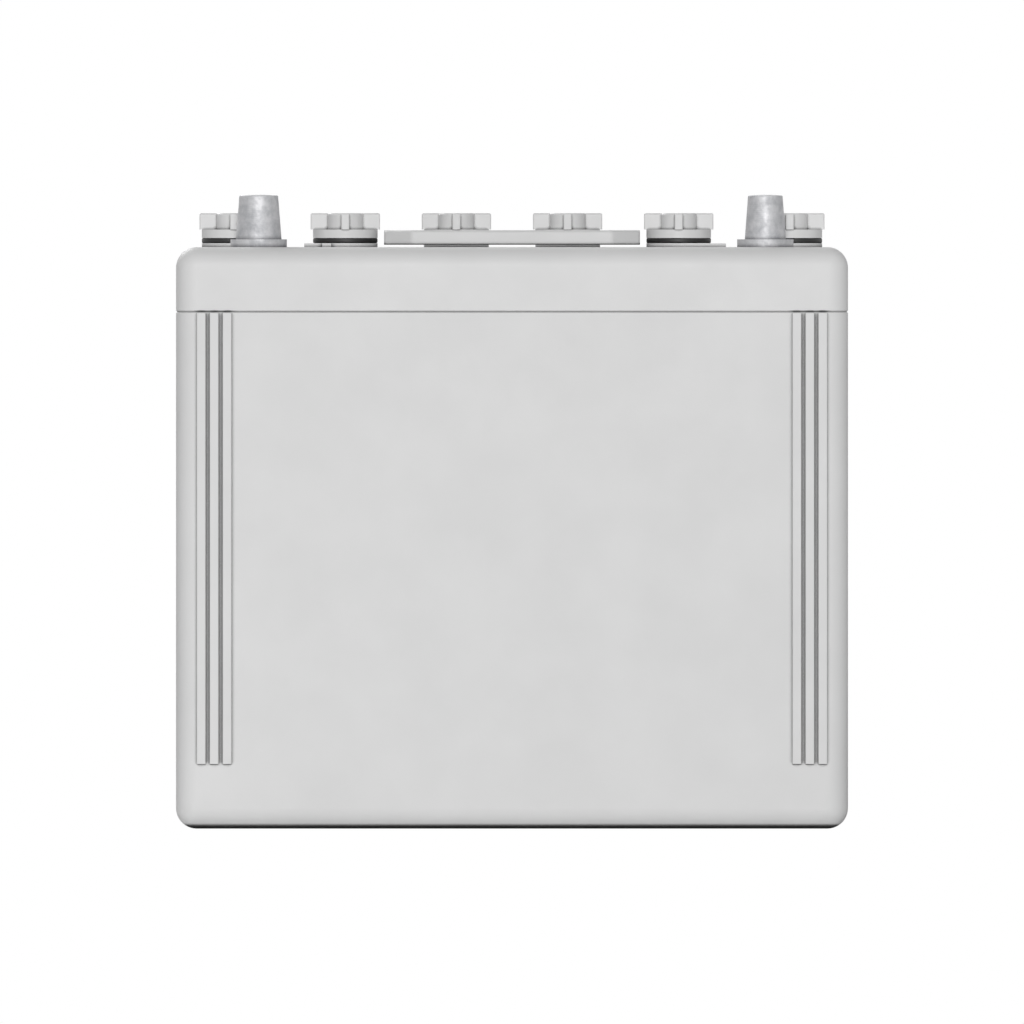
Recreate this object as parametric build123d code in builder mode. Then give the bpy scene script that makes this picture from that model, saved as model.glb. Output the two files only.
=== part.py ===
"""A 12 V flooded lead-acid battery: six cells in one moulded case, with winged vent caps and a folding handle.

Millimetres. X runs along the row of cells, Y from the terminal side (negative) to the rear, Z up.
The origin is the centre of the flat underside. Each sub-part is written to parts/ as its own STEP file.
"""

import os
from math import sqrt

from build123d import *

# ---- Case and cover ----
case_length = 260.0  # X, outside
case_depth = 170.0  # Y, over the plain faces
case_height = 225.0  # underside to the flat top of the cover
corner_radius = 8.0  # every outside edge
cover_height = 25.0  # from the weld seam to the flat top
end_wall = 2.5  # walls across X
side_wall = 3.0  # walls across Y
floor_thickness = 3.0
top_thickness = 3.5
inner_radius = 5.0
seam_chamfer = 0.5  # the groove round the case where the cover is welded on

cell_count = 6
partition = 3.0
rest_count = 4  # ridges that the plates stand on
rest_height = 12.0
rest_thickness = 3.0
rest_inset = 15.0  # from the plates' upright edges to the first ridge

rib_count = 3  # upright stiffening ribs at each end of the long faces
rib_width = 3.5
rib_gap = 1.5
rib_proud = 1.5
rib_foot = 25.0  # underside to the foot of a rib
rib_edge = 0.4

# ---- Plates, straps and separators ----
positive_thickness = 2.2
negative_thickness = 1.8
separator_thickness = 1.0
plate_side_gap = 7.0  # container wall to plates, along Y
separator_margin = 2.0  # past the plates on each side
separator_rise = 5.0  # above the plates
pack_end_gap = 1.0  # least gap from the partitions to the outer plates
strap_end_gap = 1.1
strap_inset = 32.0  # straps and terminals, in from the long outside faces
lug_width = 12.0
strap_width = 16.0
strap_height = 8.0
strap_above_plates = 12.0
tombstone_height = 24.0  # above the strap
tombstone_thickness = 4.0
tombstone_below_seam = 3.0
tombstone_width = 18.0
weld_radius = 6.0  # the strap weld through a partition
weld_rise = 14.0  # weld axis above the strap's top

# ---- Terminals ----
positive_base = 17.7  # taper post diameters
positive_tip = 15.0
negative_base = 15.9
negative_tip = 13.4
flange_diameter = 21.8
flange_height = 3.0
post_height = 17.0  # above the flange
post_edge = 0.5
post_offset = 9.5  # from the end cell's middle towards the centre of the cover
riser_diameter = 9.5  # the strap's post, burned into the terminal
riser_clearance = 0.05
bushing_diameter = 16.0
bushing_depth = 14.0  # below the flat top
barb_depth = 1.5
barb_height = 2.0
barb_above_foot = 5.0  # bushing foot to its barb
boss_wall = 3.0  # cover plastic round the bushing

# ---- Vent ports and caps ----
post_to_vents = 35.0  # along Y
ring_wall = 3.0
ring_height = 1.5
port_clearance = 0.4  # round the cap's thread
port_wall = 2.0
port_depth = 17.0  # below the flat top
seal_height = 2.0
seal_edge = 0.6
seal_fit = 0.1  # seal over the stem
neck_height = 3.3
neck_edge = 0.4
hub_diameter = 14.2
wing_span = 26.8
wing_thickness = 3.2
grip_height = 6.3  # hub and wings, above the neck
grip_edge = 0.45
wing_edge = 0.5
stem_diameter = 16.4
stem_wall = 1.95
stem_depth = 14.0  # below the flat top
thread_height = 0.9
thread_pitch = 3.0
thread_turns = 3.5
thread_root = 1.7
thread_crest = 0.7
thread_lead_in = 1.5  # stem foot to the start of the thread
bore_into_neck = 1.0
vent_hole = 2.0
arrestor_thickness = 3.0
fit_clearance = 0.1
basket_flange = 1.0
basket_length = 7.0  # below the stem
basket_collar = 4.0  # up inside the stem
basket_wall = 1.2
window_width = 5.0
window_height = 3.2
window_below_flange = 0.6

# ---- Handle ----
arm_to_cap = 1.6  # gap between an arm and the next cap outwards
vents_to_hinge = 18.0  # along Y
corner_cut = 10.8  # the slanting corners, along X and Y
handle_reach = 66.0  # hinge axis to the front of the grip
handle_thickness = 5.6
handle_gap = 0.9  # cover to the folded handle
grip_depth = 13.0
corner_depth = 10.0  # across the slanting corners
arm_width = 7.0
handle_edge = 1.4
bend_radius = 3.3
knuckle_length = 15.0
lug_gap = 0.4
lug_length = 7.0
lug_foot = 1.2  # the spread where a lug meets the cover
lug_root = 0.5  # how far a lug reaches into the cover
pin_diameter = 3.0
pin_running = 0.05  # in the knuckle
pin_press = 0.01  # in the lug
knuckle_bore = 11.0
pin_end_gap = 1.0

# ---- Polarity marks ----
mark_size = 17.4
mark_width = 3.5
mark_height = 1.5
plus_inset = 26.3  # from the post towards the middle
minus_inset = 23.9

# ---- Derived sizes and places ----
seam_z = case_height - cover_height
top_z = case_height
cell_pitch = (case_length - 2 * end_wall + partition) / cell_count
cell_width = cell_pitch - partition
half_cell = cell_width / 2
cell_x = [(i - (cell_count - 1) / 2) * cell_pitch for i in range(cell_count)]
partition_x = [(a + b) / 2 for a, b in zip(cell_x, cell_x[1:])]
cavity_length = case_length - 2 * end_wall
cavity_depth = case_depth - 2 * side_wall

post_x = cell_x[-1] - post_offset
strap_y = case_depth / 2 - strap_inset
vent_row = -strap_y + post_to_vents
hinge_y = vent_row + vents_to_hinge
barb_diameter = bushing_diameter + 2 * barb_depth
thread_diameter = stem_diameter + 2 * thread_height
port_bore = thread_diameter + 2 * port_clearance
ring_diameter = port_bore + 2 * ring_wall
stem_bore = stem_diameter - 2 * stem_wall
plate_width = cavity_depth - 2 * plate_side_gap
plate_foot = floor_thickness + rest_height
strap_top = seam_z - tombstone_below_seam - tombstone_height
strap_foot = strap_top - strap_height
plate_top = strap_foot - strap_above_plates
weld_z = strap_top + weld_rise
plate_pitch = (positive_thickness + negative_thickness) / 2 + separator_thickness
positive_count = int((cell_width - 2 * pack_end_gap - negative_thickness) / (2 * plate_pitch))
hinge_z = top_z + handle_gap + handle_thickness / 2
arm_outer = cell_x[cell_count // 2 + 1] - wing_span / 2 - arm_to_cap
arm_inner = arm_outer - arm_width
knuckle_inner = arm_outer - knuckle_length
lug_outer = knuckle_inner - lug_gap
lug_inner = lug_outer - lug_length
seal_foot = top_z + ring_height
neck_foot = seal_foot + seal_height
grip_foot = neck_foot + neck_height
grip_top = grip_foot + grip_height
stem_foot = top_z - stem_depth
thread_foot = stem_foot + thread_lead_in
port_radius = port_bore / 2
strap_length = cell_width - 2 * strap_end_gap
post_top = top_z + flange_height + post_height
ON_BASE = (Align.CENTER, Align.CENTER, Align.MIN)
UNDER = (Align.CENTER, Align.CENTER, Align.MAX)

os.makedirs("parts", exist_ok=True)


def join_side(index):
    """The side of the weld between cells index and index + 1: 1 is the rear, -1 the terminal side."""
    return 1 if index % 2 == 0 else -1


# ---- Container ----
with BuildPart() as rib:
    Box(rib_width, 2 * rib_proud, seam_z - seam_chamfer - rib_foot, align=ON_BASE)
    fillet(rib.edges().filter_by(Axis.Z), rib_edge)

with BuildPart() as cavity:
    with Locations((0, 0, floor_thickness)):
        Box(cavity_length, cavity_depth, seam_z, align=ON_BASE)
    fillet(cavity.edges().filter_by(Axis.Z) + cavity.faces().sort_by(Axis.Z)[0].edges(), inner_radius)

with BuildPart() as container:
    Box(case_length, case_depth, seam_z, align=ON_BASE)
    fillet(container.edges().filter_by(Axis.Z) + container.faces().sort_by(Axis.Z)[0].edges(), corner_radius)
    chamfer(container.faces().sort_by(Axis.Z)[-1].edges(), seam_chamfer)
    for index in range(rib_count):
        rib_x = case_length / 2 - corner_radius - rib_width / 2 - index * (rib_width + rib_gap)
        with GridLocations(2 * rib_x, case_depth, 2, 2):
            with Locations((0, 0, rib_foot)):
                add(rib.part)
    add(cavity.part, mode=Mode.SUBTRACT)
    with Locations(*[(x, 0, floor_thickness) for x in partition_x]):
        Box(partition, cavity_depth, seam_z - floor_thickness, align=ON_BASE)
    with Locations((0, 0, floor_thickness)):
        with GridLocations(0, (plate_width - 2 * rest_inset) / (rest_count - 1), 1, rest_count):
            Box(cavity_length, rest_thickness, rest_height, align=ON_BASE)
    for index, x in enumerate(partition_x):
        with Locations((x, join_side(index) * strap_y, weld_z)):
            Cylinder(weld_radius, partition, rotation=(0, 90, 0), mode=Mode.SUBTRACT)

container.part.label = "container"
export_step(container.part, "parts/container.step")


# ---- Terminals: a taper post on a flange, with a barbed barrel moulded into the cover ----
bushings = {}
for name, x, base, tip in (
    ("positive_bushing", -post_x, positive_base, positive_tip),
    ("negative_bushing", post_x, negative_base, negative_tip),
):
    foot_z = top_z - bushing_depth
    barb_z = foot_z + barb_above_foot
    with BuildPart() as bushing:
        with BuildSketch(Plane.XZ):
            with BuildLine():
                Polyline(
                    (0, foot_z),
                    (bushing_diameter / 2, foot_z),
                    (bushing_diameter / 2, barb_z),
                    (barb_diameter / 2, barb_z),
                    (barb_diameter / 2, barb_z + barb_height),
                    (bushing_diameter / 2, barb_z + barb_height),
                    (bushing_diameter / 2, top_z),
                    (flange_diameter / 2, top_z),
                    (flange_diameter / 2, top_z + flange_height),
                    (base / 2, top_z + flange_height),
                    (tip / 2, post_top),
                    (0, post_top),
                    close=True,
                )
            make_face()
        revolve(axis=Axis.Z)
        fillet(bushing.faces().sort_by(Axis.Z)[-1].edges(), post_edge)
        Cylinder(riser_diameter / 2 + riser_clearance, 2 * post_top, mode=Mode.SUBTRACT)
    bushings[name] = bushing.part.moved(Location((x, -strap_y, 0)))
    bushings[name].label = name
    export_step(bushings[name], f"parts/{name}.step")


# ---- Cover: the lid with its ports, bushing bosses, hinge lugs and polarity marks ----
with BuildPart() as hollow:
    with Locations((0, 0, top_z - top_thickness)):
        Box(cavity_length, cavity_depth, cover_height, align=UNDER)
    fillet(hollow.edges().filter_by(Axis.Z) + hollow.faces().sort_by(Axis.Z)[-1].edges(), inner_radius)

with BuildPart() as cover:
    with Locations((0, 0, seam_z)):
        Box(case_length, case_depth, cover_height, align=ON_BASE)
    fillet(cover.edges().filter_by(Axis.Z) + cover.faces().sort_by(Axis.Z)[-1].edges(), corner_radius)
    chamfer(cover.faces().sort_by(Axis.Z)[0].edges(), seam_chamfer)
    add(hollow.part, mode=Mode.SUBTRACT)
    with Locations(*[(x, 0, seam_z) for x in partition_x]):
        Box(partition, cavity_depth, cover_height - top_thickness, align=ON_BASE)
    with Locations(*[(x, vent_row, seal_foot) for x in cell_x]):
        Cylinder(ring_diameter / 2, ring_height + top_thickness / 2, align=UNDER)
        Cylinder(port_radius + port_wall, ring_height + port_depth, align=UNDER)
        Cylinder(port_radius, ring_height + port_depth, align=UNDER, mode=Mode.SUBTRACT)
    with Locations((-post_x, -strap_y, top_z), (post_x, -strap_y, top_z)):
        Cylinder(barb_diameter / 2 + boss_wall, bushing_depth, align=UNDER)
        Cylinder(riser_diameter / 2 + riser_clearance, bushing_depth, align=UNDER, mode=Mode.SUBTRACT)
    for bushing_part in bushings.values():
        add(bushing_part, mode=Mode.SUBTRACT)
    for lug_start in (lug_inner, -lug_outer):
        with BuildSketch(Plane(origin=(lug_start, hinge_y, 0), x_dir=(0, 1, 0), z_dir=(1, 0, 0))):
            with BuildLine():
                arch = ThreePointArc(
                    (handle_thickness / 2, hinge_z),
                    (0, hinge_z + handle_thickness / 2),
                    (-handle_thickness / 2, hinge_z),
                )
                Polyline(
                    arch @ 1,
                    (-handle_thickness / 2, top_z + lug_foot),
                    (-handle_thickness / 2 - lug_foot, top_z),
                    (-handle_thickness / 2 - lug_foot, top_z - lug_root),
                    (handle_thickness / 2 + lug_foot, top_z - lug_root),
                    (handle_thickness / 2 + lug_foot, top_z),
                    (handle_thickness / 2, top_z + lug_foot),
                    arch @ 0,
                )
            make_face()
        extrude(amount=lug_length)
    with Locations((lug_inner + lug_length / 2, hinge_y, hinge_z), (-lug_inner - lug_length / 2, hinge_y, hinge_z)):
        Cylinder(pin_diameter / 2 + pin_press, lug_length, rotation=(0, 90, 0), mode=Mode.SUBTRACT)
    with Locations((-post_x + plus_inset, -strap_y, top_z)):
        Box(mark_size, mark_width, mark_height, align=ON_BASE)
        Box(mark_width, mark_size, mark_height, align=ON_BASE)
    with Locations((post_x - minus_inset, -strap_y, top_z)):
        Box(mark_size, mark_width, mark_height, align=ON_BASE)

cover.part.label = "cover"
export_step(cover.part, "parts/cover.step")


# ---- Handle: a flat bail folded forwards on to the cover, with a hinge knuckle on each arm ----
grip_front = hinge_y - handle_reach
shoulder_y = grip_front + corner_cut
inner_shoulder_y = shoulder_y + corner_depth * sqrt(2) - arm_width
inner_corner_x = grip_front + grip_depth - shoulder_y + arm_outer - corner_depth * sqrt(2)

with BuildPart() as knuckle:
    Cylinder(handle_thickness / 2, knuckle_length, align=UNDER)

with BuildPart() as handle:
    with BuildSketch(Plane.XY.offset(hinge_z - handle_thickness / 2)) as bail:
        with BuildLine():
            Polyline(
                (0, grip_front),
                (arm_outer - corner_cut, grip_front),
                (arm_outer, shoulder_y),
                (arm_outer, hinge_y),
                (arm_inner, hinge_y),
                (arm_inner, inner_shoulder_y),
                (inner_corner_x, grip_front + grip_depth),
                (0, grip_front + grip_depth),
                close=True,
            )
        make_face()
        fillet(bail.vertices().filter_by(lambda v: v.X > 1 and v.Y < hinge_y - 1), bend_radius)
        mirror(about=Plane.YZ)
    extrude(amount=handle_thickness)
    bail_faces = handle.faces().filter_by(Axis.Z)
    fillet(bail_faces.edges().filter_by(lambda e: e.center().Y < hinge_y - 1), handle_edge)
    for side in (-1, 1):
        with Locations(Location((side * arm_outer, hinge_y, hinge_z), (0, side * 90, 0))):
            add(knuckle.part)
        with Locations((side * (knuckle_inner + knuckle_bore / 2), hinge_y, hinge_z)):
            Cylinder(pin_diameter / 2 + pin_running, knuckle_bore, rotation=(0, 90, 0), mode=Mode.SUBTRACT)

handle.part.label = "handle"
export_step(handle.part, "parts/handle.step")

pin_length = lug_length + lug_gap + knuckle_bore - pin_end_gap
with BuildPart() as handle_pins:
    with Locations((0, hinge_y, hinge_z)):
        with GridLocations(2 * lug_inner + pin_length, 0, 2, 1):
            Cylinder(pin_diameter / 2, pin_length, rotation=(0, 90, 0))

handle_pins.part.label = "handle_pins"
export_step(handle_pins.part, "parts/handle_pins.step")


# ---- Vent caps: each has its own seal, flame arrestor and splash baffle ----
with BuildPart() as thread:
    with BuildLine() as helix:
        Helix(thread_pitch, thread_turns * thread_pitch, stem_diameter / 2, center=(0, 0, thread_foot))
    with BuildSketch(Plane(origin=helix.line @ 0, x_dir=(1, 0, 0), z_dir=helix.line % 0)):
        with BuildLine():
            Polyline(
                (-thread_root / 4, -thread_root / 2),
                ((thread_diameter - stem_diameter) / 2, -thread_crest / 2),
                ((thread_diameter - stem_diameter) / 2, thread_crest / 2),
                (-thread_root / 4, thread_root / 2),
                close=True,
            )
        make_face()
    sweep(is_frenet=True)

with BuildPart() as vent_cap:
    with BuildSketch(Plane.XY.offset(grip_foot)):
        Rectangle(wing_span, wing_thickness)
        Rectangle(wing_thickness, wing_span)
    extrude(amount=grip_height)
    upright_edges = vent_cap.edges().filter_by(Axis.Z)
    wing_tips = upright_edges.filter_by(lambda e: max(abs(e.center().X), abs(e.center().Y)) > hub_diameter / 2)
    fillet(wing_tips, wing_edge)
    with Locations((0, 0, grip_foot)):
        Cylinder(hub_diameter / 2, grip_height, align=ON_BASE)
    chamfer(vent_cap.faces().sort_by(Axis.Z)[-1].edges(), grip_edge)
    with Locations((0, 0, grip_foot)):
        Cylinder(ring_diameter / 2, neck_height, align=UNDER)
        Cylinder(stem_diameter / 2, grip_foot - stem_foot, align=UNDER)
    add(thread.part)
    with Locations((0, 0, stem_foot)):
        Cylinder(stem_bore / 2, neck_foot + bore_into_neck - stem_foot, align=ON_BASE, mode=Mode.SUBTRACT)
        Cylinder(vent_hole / 2, case_height, align=ON_BASE, mode=Mode.SUBTRACT)

with BuildPart() as vent_seal:
    with Locations((0, 0, seal_foot)):
        Cylinder(ring_diameter / 2, seal_height, align=ON_BASE)
    fillet(vent_seal.edges().filter_by(GeomType.CIRCLE), seal_edge)
    with Locations((0, 0, seal_foot)):
        Cylinder(thread_diameter / 2 + seal_fit, seal_height, align=ON_BASE, mode=Mode.SUBTRACT)

with BuildPart() as flame_arrestor:
    with Locations((0, 0, neck_foot + bore_into_neck)):
        Cylinder(stem_bore / 2 - fit_clearance, arrestor_thickness, align=UNDER)

collar_radius = stem_bore / 2 - fit_clearance
with BuildPart() as splash_baffle:
    with Locations((0, 0, stem_foot)):
        Cylinder(stem_diameter / 2, basket_flange, align=UNDER)
        Cylinder(collar_radius, basket_length, align=UNDER)
        Cylinder(collar_radius, basket_collar, align=ON_BASE)
        Cylinder(collar_radius - basket_wall, basket_collar, align=ON_BASE, mode=Mode.SUBTRACT)
        Cylinder(collar_radius - basket_wall, basket_length - basket_wall, align=UNDER, mode=Mode.SUBTRACT)
    with Locations((0, 0, stem_foot - basket_flange - window_below_flange)):
        Box(2 * stem_diameter, window_width, window_height, align=UNDER, mode=Mode.SUBTRACT)
        Box(window_width, 2 * stem_diameter, window_height, align=UNDER, mode=Mode.SUBTRACT)

cap_pieces = {
    "vent_cap": vent_cap,
    "vent_seal": vent_seal,
    "flame_arrestor": flame_arrestor,
    "splash_baffle": splash_baffle,
}
for number, x in enumerate(cell_x, start=1):
    for name, piece in cap_pieces.items():
        placed = piece.part.moved(Location((x, vent_row, 0)))
        placed.label = f"{name}_{number}"
        export_step(placed, f"parts/{name}_{number}.step")


# ---- Plate groups: the plates of one polarity hang by their lugs from a cast strap ----
first_plate = -positive_count * plate_pitch
negative_x = [first_plate + 2 * i * plate_pitch for i in range(positive_count + 1)]
positive_x = [first_plate + (2 * i + 1) * plate_pitch for i in range(positive_count)]
plate_sets = {
    "positive": (positive_x, positive_thickness, plate_foot + separator_thickness),
    "negative": (negative_x, negative_thickness, plate_foot),
}
for index, x in enumerate(cell_x):
    for polarity, (plate_offsets, thickness, foot) in plate_sets.items():
        towards = -1 if polarity == "positive" else 1
        side = join_side(index) * towards
        at_terminal = not 0 <= index + towards < cell_count
        with BuildPart() as group:
            with Locations(*[(x + offset, 0, plate_top) for offset in plate_offsets]):
                Box(thickness, plate_width, plate_top - foot, align=UNDER)
            with Locations(*[(x + offset, side * strap_y, strap_foot) for offset in plate_offsets]):
                Box(thickness, lug_width, strap_above_plates, align=UNDER)
            with Locations((x, side * strap_y, strap_foot)):
                Box(strap_length, strap_width, strap_height, align=ON_BASE)
            if at_terminal:
                with Locations((towards * post_x, side * strap_y, strap_foot)):
                    Cylinder(riser_diameter / 2, post_top - strap_foot, align=ON_BASE)
            else:
                with Locations((x + towards * (half_cell - tombstone_thickness / 2), side * strap_y, strap_foot)):
                    Box(tombstone_thickness, tombstone_width, strap_height + tombstone_height, align=ON_BASE)
        group.part.label = f"{polarity}_group_{index + 1}"
        export_step(group.part, f"parts/{polarity}_group_{index + 1}.step")


# ---- Separators: an envelope round each positive plate, open at the top ----
envelope_width = plate_width + 2 * separator_margin
for index, x in enumerate(cell_x):
    with BuildPart() as separators:
        with Locations(*[(x + offset, 0, plate_foot) for offset in positive_x]):
            Box(
                positive_thickness + 2 * separator_thickness,
                envelope_width + 2 * separator_thickness,
                plate_top - plate_foot + separator_rise,
                align=ON_BASE,
            )
        with Locations(*[(x + offset, 0, plate_foot + separator_thickness) for offset in positive_x]):
            Box(positive_thickness, envelope_width, case_height, align=ON_BASE, mode=Mode.SUBTRACT)
    separators.part.label = f"separators_{index + 1}"
    export_step(separators.part, f"parts/separators_{index + 1}.step")


# ---- Welds: lead fused through each partition between two tombstones ----
with BuildPart() as intercell_welds:
    for index, x in enumerate(partition_x):
        with Locations((x, join_side(index) * strap_y, weld_z)):
            Cylinder(weld_radius, partition, rotation=(0, 90, 0))

intercell_welds.part.label = "intercell_welds"
export_step(intercell_welds.part, "parts/intercell_welds.step")
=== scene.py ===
"""The looks of a flooded lead-acid battery: moulded polypropylene, black rubber seals and cast lead posts.

Metres. X runs along the cells, Y from the terminal side to the rear, Z up from the flat underside.
"""
import math

import bmesh
import bpy
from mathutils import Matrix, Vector


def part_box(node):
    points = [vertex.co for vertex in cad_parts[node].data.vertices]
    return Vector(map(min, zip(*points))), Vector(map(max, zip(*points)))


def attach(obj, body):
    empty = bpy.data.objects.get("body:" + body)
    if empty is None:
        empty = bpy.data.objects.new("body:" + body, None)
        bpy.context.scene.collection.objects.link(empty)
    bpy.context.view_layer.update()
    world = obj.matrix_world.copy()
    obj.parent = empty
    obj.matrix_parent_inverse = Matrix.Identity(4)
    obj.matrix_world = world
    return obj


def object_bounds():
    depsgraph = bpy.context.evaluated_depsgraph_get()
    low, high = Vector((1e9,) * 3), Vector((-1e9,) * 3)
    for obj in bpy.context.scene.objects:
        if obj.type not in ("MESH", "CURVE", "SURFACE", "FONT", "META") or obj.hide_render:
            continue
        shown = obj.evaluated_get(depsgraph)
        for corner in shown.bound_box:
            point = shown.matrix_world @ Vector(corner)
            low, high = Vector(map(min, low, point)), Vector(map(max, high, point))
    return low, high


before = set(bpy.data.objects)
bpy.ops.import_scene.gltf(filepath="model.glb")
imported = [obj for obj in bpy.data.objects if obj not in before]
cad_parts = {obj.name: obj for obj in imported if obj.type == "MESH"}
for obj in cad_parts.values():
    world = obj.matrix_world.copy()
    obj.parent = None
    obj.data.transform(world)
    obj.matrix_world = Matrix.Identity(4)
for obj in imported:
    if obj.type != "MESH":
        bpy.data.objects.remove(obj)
cad_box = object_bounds()

MM = 0.001
CASE_SHARE_OF_VIEW = 21 / 32  # the case's length as a share of the picture's width
CAMERA_DISTANCE = 1.5
SMOOTH_ANGLE = math.radians(28)  # edges sharper than this stay crisp
SAME_POINT = 0.001 * MM  # vertices nearer than this are one
PLASTIC_SHEEN = 0.22  # polypropylene's waxy surface scatters most of what it reflects
PLASTIC_IOR = 1.49
RUBBER_IOR = 1.52
LEAD_METALLIC = 0.55  # cast lead is half hidden by its own dull oxide
PAINTED_SHADE = "#303030"  # painted shade for grooves and corners
CELLS = range(1, 7)


# ---- Node helpers ----
def linear(hex_colour):
    """A linear RGBA colour from an sRGB hex value."""
    channels = [int(hex_colour[i:i + 2], 16) / 255 for i in (1, 3, 5)]
    return [c / 12.92 if c <= 0.04045 else ((c + 0.055) / 1.055) ** 2.4 for c in channels] + [1.0]


def node(tree, kind, inputs=None, **settings):
    """Adds a node, gives it its settings, and fills its inputs with values or links."""
    made = tree.nodes.new(kind)
    for name, value in settings.items():
        setattr(made, name, value)
    for name, value in (inputs or {}).items():
        if isinstance(value, bpy.types.NodeSocket):
            tree.links.new(value, made.inputs[name])
        else:
            made.inputs[name].default_value = value
    return made


def new_material(name):
    """An empty node material with its output, and the coordinates that its patterns read."""
    material = bpy.data.materials.new(name)
    material.use_nodes = True
    tree = material.node_tree
    tree.nodes.clear()
    output = node(tree, "ShaderNodeOutputMaterial")
    place = node(tree, "ShaderNodeTexCoord").outputs["Object"]
    return material, tree, output, place


def noise(tree, place, size, detail=2.0, roughness=0.5):
    """Noise whose blotches are about that size across, in metres."""
    made = node(tree, "ShaderNodeTexNoise",
                {"Vector": place, "Scale": 1 / size, "Detail": detail, "Roughness": roughness})
    return made.outputs["Fac"]


def between(tree, factor, low, high, start=0.0, end=1.0):
    """Maps a factor from start to end on to low to high."""
    made = node(tree, "ShaderNodeMapRange", {"Value": factor, "From Min": start, "From Max": end,
                                             "To Min": low, "To Max": high})
    return made.outputs["Result"]


def mix(tree, factor, first, second):
    """A colour between two colours."""
    made = node(tree, "ShaderNodeMix", data_type="RGBA")
    for socket, value in ((made.inputs[0], factor), (made.inputs[6], first), (made.inputs[7], second)):
        if isinstance(value, bpy.types.NodeSocket):
            tree.links.new(value, socket)
        else:
            socket.default_value = value
    return made.outputs[2]


def crevice_shade(tree, reach, start=0.35, end=0.85):
    """A mask for painted shade: 1 on open faces, falling to 0 in grooves and corners narrower than reach."""
    hidden = node(tree, "ShaderNodeAmbientOcclusion", {"Distance": reach}, samples=8)
    return between(tree, hidden.outputs["AO"], 0.0, 1.0, start, end)


# ---- Materials ----
def moulded_plastic(name, face, flow, grain, depth, rough, reach):
    """Injection-moulded plastic: a spark-eroded grain, faint flow clouding, and painted shade in the grooves
    and corners.
    """
    material, tree, output, place = new_material(name)
    cloud_size = 30 * MM
    patch_size = 12 * MM  # patches that handling has rubbed a little smoother
    clouds = between(tree, noise(tree, place, cloud_size, 3.0), 0.0, 1.0, 0.35, 0.65)
    plain = mix(tree, clouds, linear(face), linear(flow))
    # Grooves and corners are darkened towards PAINTED_SHADE by occlusion: this is painted shade.
    colour = mix(tree, crevice_shade(tree, reach), linear(PAINTED_SHADE), plain)
    rubbed = between(tree, noise(tree, place, patch_size, 4.0, 0.7), rough - 0.05, rough + 0.07, 0.3, 0.7)
    bump = node(tree, "ShaderNodeBump", {"Height": noise(tree, place, grain, 3.0, 0.6), "Strength": 1.0,
                                         "Distance": depth})
    shader = node(tree, "ShaderNodeBsdfPrincipled", {"Base Color": colour, "Roughness": rubbed,
                                                     "IOR": PLASTIC_IOR,
                                                     "Specular IOR Level": PLASTIC_SHEEN,
                                                     "Normal": bump.outputs["Normal"]})
    tree.links.new(shader.outputs[0], output.inputs["Surface"])
    return material


def rubber(name, face, dust, grain):
    """Moulded EPDM: nearly black and matt, with a trace of pale dust in its texture."""
    material, tree, output, place = new_material(name)
    texture_depth = 0.04 * MM
    specks = between(tree, noise(tree, place, grain, 4.0, 0.7), 0.0, 1.0, 0.55, 0.8)
    colour = mix(tree, specks, linear(face), linear(dust))
    bump = node(tree, "ShaderNodeBump", {"Height": noise(tree, place, grain, 2.0), "Strength": 1.0,
                                         "Distance": texture_depth})
    shader = node(tree, "ShaderNodeBsdfPrincipled", {"Base Color": colour,
                                                     "Roughness": between(tree, specks, 0.55, 0.75),
                                                     "IOR": RUBBER_IOR, "Normal": bump.outputs["Normal"]})
    tree.links.new(shader.outputs[0], output.inputs["Surface"])
    return material


def cast_lead(name, bright, oxide, groove_shade):
    """Gravity-cast lead alloy: a soft grey sheen, cloudy oxide, fine pits, and tool rings on the taper."""
    material, tree, output, place = new_material(name)
    oxide_patch = 5 * MM
    pit_spacing = 0.9 * MM
    ring_spacing = 0.8 * MM
    relief = 0.03 * MM
    groove_reach = 2.5 * MM
    clouds = between(tree, noise(tree, place, oxide_patch, 5.0, 0.65), 0.0, 1.0, 0.38, 0.66)
    pits = between(tree, noise(tree, place, pit_spacing, 2.0, 0.6), 0.0, 1.0, 0.25, 0.45)
    height = node(tree, "ShaderNodeSeparateXYZ", {"Vector": place}).outputs["Z"]
    rings = node(tree, "ShaderNodeMath", {0: height, 1: 2 * math.pi / ring_spacing}, operation="MULTIPLY")
    ripple = node(tree, "ShaderNodeMath", {0: rings.outputs[0]}, operation="SINE")
    surface = node(tree, "ShaderNodeMath", {0: ripple.outputs[0], 1: 0.25, 2: pits}, operation="MULTIPLY_ADD")
    bump = node(tree, "ShaderNodeBump", {"Height": surface.outputs[0], "Strength": 1.0, "Distance": relief})
    metal = mix(tree, clouds, linear(bright), linear(oxide))
    # Grooves and corners on the lead are darkened by occlusion: this is painted shade.
    colour = mix(tree, crevice_shade(tree, groove_reach), linear(groove_shade), metal)
    shader = node(tree, "ShaderNodeBsdfPrincipled", {"Base Color": colour, "Metallic": LEAD_METALLIC,
                                                     "Roughness": between(tree, clouds, 0.58, 0.74),
                                                     "Normal": bump.outputs["Normal"]})
    tree.links.new(shader.outputs[0], output.inputs["Surface"])
    return material


def drawn_steel(name, face, streak):
    """Bright drawn stainless wire: fine streaks along its length, which is X."""
    material, tree, output, place = new_material(name)
    along = node(tree, "ShaderNodeMapping", {"Vector": place, "Scale": (0.05, 1.0, 1.0)}).outputs["Vector"]
    streak_width = 0.25 * MM
    streaks = noise(tree, along, streak_width, 3.0)
    colour = mix(tree, streaks, linear(face), linear(streak))
    shader = node(tree, "ShaderNodeBsdfPrincipled", {"Base Color": colour, "Metallic": 1.0,
                                                     "Roughness": between(tree, streaks, 0.22, 0.38)})
    tree.links.new(shader.outputs[0], output.inputs["Surface"])
    return material


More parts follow.
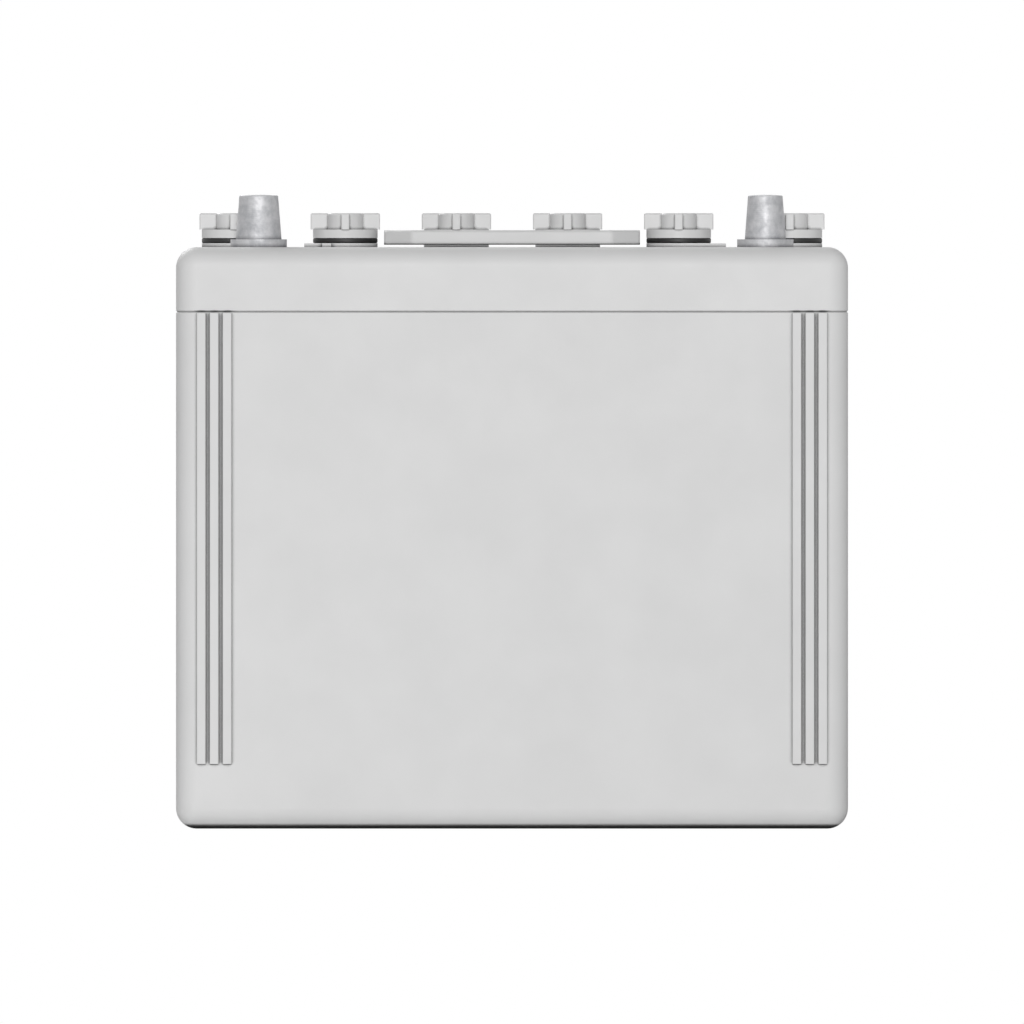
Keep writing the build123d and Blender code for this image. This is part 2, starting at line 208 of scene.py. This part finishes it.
def matt_solid(name, face, second, size, depth, rough):
    """A matt, grainy surface for what is inside the case: pasted plates, porous separators and discs."""
    material, tree, output, place = new_material(name)
    grains = noise(tree, place, size, 5.0, 0.7)
    bump = node(tree, "ShaderNodeBump", {"Height": grains, "Strength": 1.0, "Distance": depth})
    shader = node(tree, "ShaderNodeBsdfPrincipled", {
        "Base Color": mix(tree, between(tree, grains, 0.0, 1.0, 0.35, 0.65), linear(face), linear(second)),
        "Roughness": between(tree, grains, rough - 0.08, rough + 0.08),
        "Normal": bump.outputs["Normal"]})
    tree.links.new(shader.outputs[0], output.inputs["Surface"])
    return material


# Satin polypropylene copolymer from a spark-eroded mould. The real grain is 0.3 mm, and is drawn at 0.7 mm
# so that it shows.
case_plastic = moulded_plastic("polypropylene_case", "#D7D7D7", "#D4D4D4",
                               grain=0.7 * MM, depth=0.018 * MM, rough=0.50, reach=2.2 * MM)
cover_plastic = moulded_plastic("polypropylene_cover", "#D8D8D8", "#D5D5D5",
                                grain=0.7 * MM, depth=0.018 * MM, rough=0.48, reach=2.2 * MM)
# The caps come from a polished mould, so they are smoother and a little glossier.
cap_plastic = moulded_plastic("polypropylene_caps", "#D8D8D8", "#D5D5D5",
                              grain=0.5 * MM, depth=0.008 * MM, rough=0.40, reach=1.6 * MM)
# The handle is glass-filled, with a coarser grain that grips.
handle_plastic = moulded_plastic("filled_polypropylene_handle", "#D6D6D6", "#D2D2D2",
                                 grain=0.9 * MM, depth=0.03 * MM, rough=0.55, reach=1.8 * MM)
# The sealing rings are EPDM rubber: near black, and too matt to mirror anything.
seal_rubber = rubber("moulded_epdm", "#131313", "#262626", grain=0.6 * MM)
# The posts are antimonial lead, dull grey where it has oxidised and paler where it is bare; the third colour
# is painted shade for their grooves and corners.
post_lead = cast_lead("cast_lead_alloy", "#C4C4C6", "#AEAFB2", "#3E3F42")
# The handle's pins are cut from bright drawn stainless wire.
pin_steel = drawn_steel("drawn_stainless_steel", "#C9CACC", "#A9ABAE")
# Positive plates are brown lead dioxide and negative plates are grey spongy lead, both a dried paste.
positive_paste = matt_solid("lead_dioxide_paste", "#4B3328", "#5B4335",
                            size=1.5 * MM, depth=0.10 * MM, rough=0.85)
negative_paste = matt_solid("sponge_lead_paste", "#7B7D80", "#66686B",
                            size=1.5 * MM, depth=0.10 * MM, rough=0.80)
# The separators are a soft off-white sheet, wetted and dried unevenly.
separator_sheet = matt_solid("microporous_polyethylene", "#BDB9AC", "#ADA99C",
                             size=2.5 * MM, depth=0.03 * MM, rough=0.75)
# The discs are pressed from beads, so they look like fine white sand.
arrestor_disc = matt_solid("sintered_polypropylene", "#E2E2DE", "#CFCFCA",
                           size=0.6 * MM, depth=0.08 * MM, rough=0.80)
# The welds through the partitions froze from melted lead, so they are smoother than the castings.
weld_lead = matt_solid("fused_lead", "#A3A5A9", "#8C8E92",
                       size=3.0 * MM, depth=0.05 * MM, rough=0.55)

finishes = {"container": case_plastic, "cover": cover_plastic, "handle": handle_plastic,
            "handle_pins": pin_steel, "positive_bushing": post_lead, "negative_bushing": post_lead,
            "intercell_welds": weld_lead}
for cell in CELLS:
    finishes[f"vent_cap_{cell}"] = cap_plastic
    finishes[f"splash_baffle_{cell}"] = cap_plastic
    finishes[f"vent_seal_{cell}"] = seal_rubber
    finishes[f"flame_arrestor_{cell}"] = arrestor_disc
    finishes[f"separators_{cell}"] = separator_sheet
    finishes[f"positive_group_{cell}"] = positive_paste
    finishes[f"negative_group_{cell}"] = negative_paste
# The end cells' risers come up through the posts, so those two groups show as lead.
finishes["positive_group_1"] = post_lead
finishes["negative_group_6"] = post_lead


def soften(piece):
    """Smooth shading across curved faces, with crisp edges kept."""
    piece.data.polygons.foreach_set("use_smooth", [True] * len(piece.data.polygons))
    weld = piece.modifiers.new("weld", "WELD")
    weld.merge_threshold = SAME_POINT
    split = piece.modifiers.new("crisp_edges", "EDGE_SPLIT")
    split.split_angle = SMOOTH_ANGLE


for name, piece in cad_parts.items():
    piece.data.materials.clear()
    piece.data.materials.append(finishes[name])
    soften(piece)


# ---- New pieces ----
def finish_piece(mesh_builder, name, material, body):
    """Turns a bmesh into a piece at the origin that rides on a body."""
    bmesh.ops.recalc_face_normals(mesh_builder, faces=mesh_builder.faces)
    mesh = bpy.data.meshes.new(name)
    mesh_builder.to_mesh(mesh)
    mesh_builder.free()
    piece = bpy.data.objects.new(name, mesh)
    bpy.context.scene.collection.objects.link(piece)
    piece.data.materials.append(material)
    piece.data.polygons.foreach_set("use_smooth", [True] * len(piece.data.polygons))
    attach(piece, body)
    return piece


def burned_post_top(bushing, name):
    """The puddle where the riser is burned into the post: a low dome with ripples, closed underneath."""
    low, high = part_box(bushing)
    centre = (low + high) / 2
    radius = 5.4 * MM
    thickness = 0.22 * MM
    sunk = 0.15 * MM  # how far its underside lies in the post
    ripple_height = 0.05 * MM
    ripples = 3
    steps = 24  # points from rim to middle
    facets = 64
    builder = bmesh.new()
    points = [Vector((0, 0, -sunk)), Vector((radius, 0, -sunk))]
    for step in range(steps + 1):
        share = 1 - step / steps
        dome = thickness * (1 - share ** 4)
        wave = ripple_height * math.sin(2 * math.pi * ripples * share) * (1 - share)
        points.append(Vector((radius * share, 0, dome + wave)))
    base = Vector((centre.x, centre.y, high.z))
    rim = [builder.verts.new(base + point) for point in points]
    edges = [builder.edges.new(pair) for pair in zip(rim, rim[1:])]
    bmesh.ops.spin(builder, geom=rim + edges, cent=base, axis=(0, 0, 1), dvec=(0, 0, 0), angle=2 * math.pi,
                   steps=facets, use_merge=True, use_normal_flip=False, use_duplicate=False)
    bmesh.ops.remove_doubles(builder, verts=builder.verts, dist=SAME_POINT)
    return finish_piece(builder, name, post_lead, "root")


burned_post_top("positive_bushing", "positive_burn")
burned_post_top("negative_bushing", "negative_burn")


# ---- Floor, lights and camera ----
def make_floor():
    """A plain pale floor, level with the underside, that keeps the battery's shadow."""
    glow_share = 0.22  # brings the floor up to white in view, and lights nothing
    mottle_size = 0.4
    half_width = 4.0
    material, tree, output, place = new_material("pale_floor")
    ray = node(tree, "ShaderNodeLightPath")
    seen = node(tree, "ShaderNodeMath", {0: ray.outputs["Is Camera Ray"], 1: glow_share},
                operation="MULTIPLY")
    tone = mix(tree, noise(tree, place, mottle_size, 2.0), linear("#F1F1F1"), linear("#F5F5F5"))
    base = node(tree, "ShaderNodeBsdfDiffuse", {"Color": tone})
    glow = node(tree, "ShaderNodeEmission", {"Color": linear("#FFFFFF"), "Strength": seen.outputs[0]})
    both = node(tree, "ShaderNodeAddShader", {0: base.outputs[0], 1: glow.outputs[0]})
    tree.links.new(both.outputs[0], output.inputs["Surface"])
    builder = bmesh.new()
    bmesh.ops.create_grid(builder, x_segments=1, y_segments=1, size=half_width)
    mesh = bpy.data.meshes.new("floor")
    builder.to_mesh(mesh)
    builder.free()
    floor = bpy.data.objects.new("floor", mesh)
    floor.data.materials.append(material)
    bpy.context.scene.collection.objects.link(floor)


def make_world(fill):
    """White where the camera or a glossy surface looks past the battery, and a soft even fill elsewhere."""
    world = bpy.data.worlds.new("studio")
    bpy.context.scene.world = world
    world.use_nodes = True
    tree = world.node_tree
    tree.nodes.clear()
    ray = node(tree, "ShaderNodeLightPath")
    shown = node(tree, "ShaderNodeMath", {0: ray.outputs["Is Camera Ray"], 1: ray.outputs["Is Glossy Ray"]},
                 operation="MAXIMUM")
    shown = node(tree, "ShaderNodeMath", {0: shown.outputs[0], 1: ray.outputs["Is Transmission Ray"]},
                 operation="MAXIMUM")
    strength = between(tree, shown.outputs[0], fill, 1.0)
    back = node(tree, "ShaderNodeBackground", {"Color": linear("#FFFFFF"), "Strength": strength})
    output = node(tree, "ShaderNodeOutputWorld")
    tree.links.new(back.outputs[0], output.inputs["Surface"])


def make_sun(name, share, azimuth, elevation, softness):
    """A soft distant lamp. At a share of 1, a face square to it renders in its colour as written."""
    lamp = bpy.data.lights.new(name, "SUN")
    lamp.energy = share * math.pi
    lamp.angle = math.radians(softness)
    sun = bpy.data.objects.new(name, lamp)
    turn, rise = math.radians(azimuth), math.radians(elevation)
    towards = Vector((math.sin(turn) * math.cos(rise), -math.cos(turn) * math.cos(rise), math.sin(rise)))
    sun.rotation_euler = towards.to_track_quat("Z", "Y").to_euler()
    bpy.context.scene.collection.objects.link(sun)


def make_camera():
    """A square-on view of the front with no perspective."""
    low, high = cad_box
    centre = (low + high) / 2
    camera_data = bpy.data.cameras.new("front_view")
    camera_data.type = "ORTHO"
    camera_data.ortho_scale = (high.x - low.x) / CASE_SHARE_OF_VIEW
    camera = bpy.data.objects.new("front_view", camera_data)
    camera.location = (centre.x, low.y - CAMERA_DISTANCE, centre.z)
    camera.rotation_euler = (math.pi / 2, 0, 0)
    bpy.context.scene.collection.objects.link(camera)
    bpy.context.scene.camera = camera


make_floor()
make_world(fill=0.20)
make_sun("key", share=0.64, azimuth=0, elevation=12, softness=12)
make_sun("rear", share=0.45, azimuth=205, elevation=35, softness=30)
make_camera()
bpy.context.scene.view_settings.view_transform = "Standard"
